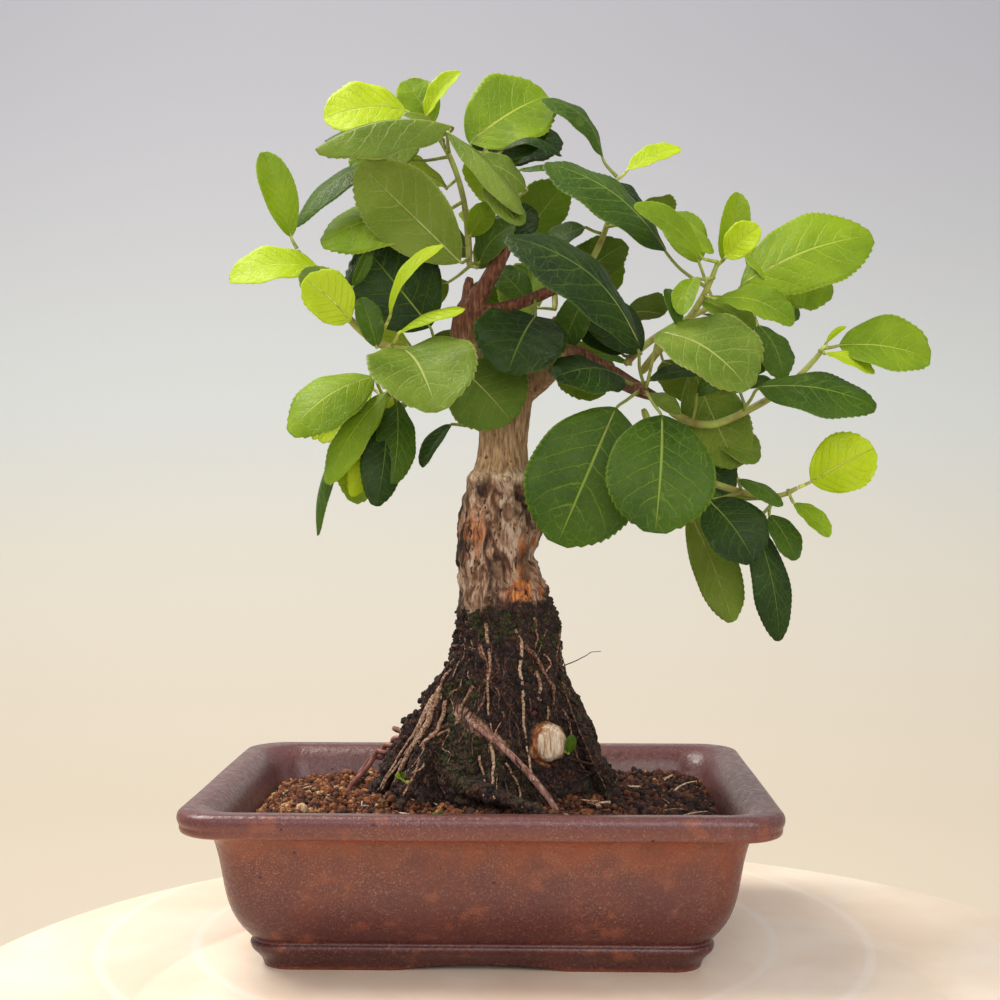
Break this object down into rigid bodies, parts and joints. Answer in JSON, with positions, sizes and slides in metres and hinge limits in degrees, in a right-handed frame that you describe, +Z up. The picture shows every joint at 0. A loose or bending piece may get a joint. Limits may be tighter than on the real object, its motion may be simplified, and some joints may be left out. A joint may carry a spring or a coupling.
{
  "type": "potted bonsai tree",
  "caption": "Small broad-leaved bonsai with exposed roots, tied into a rectangular glazed pot with drainage holes and a recessed foot.",
  "frame": {"origin": "middle of the bounding box at the plane that the pot's foot stands on; the pot's own middle is 26 mm to the -X side of it", "axes": "+Z up, along the trunk; X along the pot's long side, with the longer limb reaching to +X; -Y is the tree's front"},
  "size_m": [0.239, 0.136, 0.2953],
  "materials": {
    "glaze": "gloss",
    "soil": "matte",
    "bark": "matte",
    "green_shoot": "satin",
    "leaf_bright": "satin",
    "leaf_young": "satin",
    "leaf_mid": "satin",
    "leaf_dark": "gloss",
    "leaf_pale": "satin",
    "copper_wire": "satin",
    "mesh_plastic": "matte"
  },
  "bodies": {
    "root": {"drain_mesh_left": "mesh_plastic", "drain_mesh_right": "mesh_plastic", "leaf_back_1": "leaf_young", "leaf_back_2": "leaf_mid", "leaf_back_3": "leaf_dark", "leaf_crown_left_1": "leaf_bright", "leaf_crown_left_2": "leaf_mid", "leaf_crown_left_3": "leaf_pale", "leaf_crown_left_4": "leaf_mid", "leaf_crown_left_5": "leaf_young", "leaf_crown_left_6": "leaf_pale", "leaf_crown_middle_1": "leaf_young", "leaf_crown_middle_2": "leaf_dark", "leaf_crown_middle_3": "leaf_pale", "leaf_crown_right_1": "leaf_mid", "leaf_crown_right_2": "leaf_mid", "leaf_left_1": "leaf_young", "leaf_left_2": "leaf_bright", "leaf_left_3": "leaf_bright", "leaf_left_4": "leaf_dark", "leaf_left_5": "leaf_pale", "leaf_left_low_1": "leaf_young", "leaf_left_low_2": "leaf_mid", "leaf_left_low_3": "leaf_dark", "leaf_left_low_4": "leaf_young", "leaf_limb_left_1": "leaf_dark", "leaf_right_1": "leaf_mid", "leaf_right_2": "leaf_young", "leaf_right_far_1": "leaf_young", "leaf_right_far_2": "leaf_young", "leaf_right_far_3": "leaf_mid", "leaf_right_high_1": "leaf_mid", "leaf_right_high_2": "leaf_young", "leaf_right_high_3": "leaf_young", "leaf_right_high_4": "leaf_pale", "leaf_right_low_1": "leaf_dark", "leaf_right_low_2": "leaf_dark", "leaf_right_low_3": "leaf_pale", "leaf_right_low_4": "leaf_dark", "leaf_right_low_5": "leaf_bright", "leaf_spur_front_1": "leaf_dark", "leaf_spur_front_2": "leaf_mid", "leaf_spur_front_3": "leaf_mid", "leaf_spur_front_4": "leaf_dark", "leaf_spur_front_5": "leaf_pale", "leaf_twig_right_1": "leaf_dark", "pot": "glaze", "shoot_back": "green_shoot", "shoot_crown_left": "green_shoot", "shoot_crown_middle": "green_shoot", "shoot_crown_right": "green_shoot", "shoot_left": "green_shoot", "shoot_left_low": "green_shoot", "shoot_right": "green_shoot", "shoot_right_far": "green_shoot", "shoot_right_high": "green_shoot", "shoot_right_low": "green_shoot", "soil": "soil", "tie_wire": "copper_wire", "trunk": "bark"}
  },
  "joints": []
}
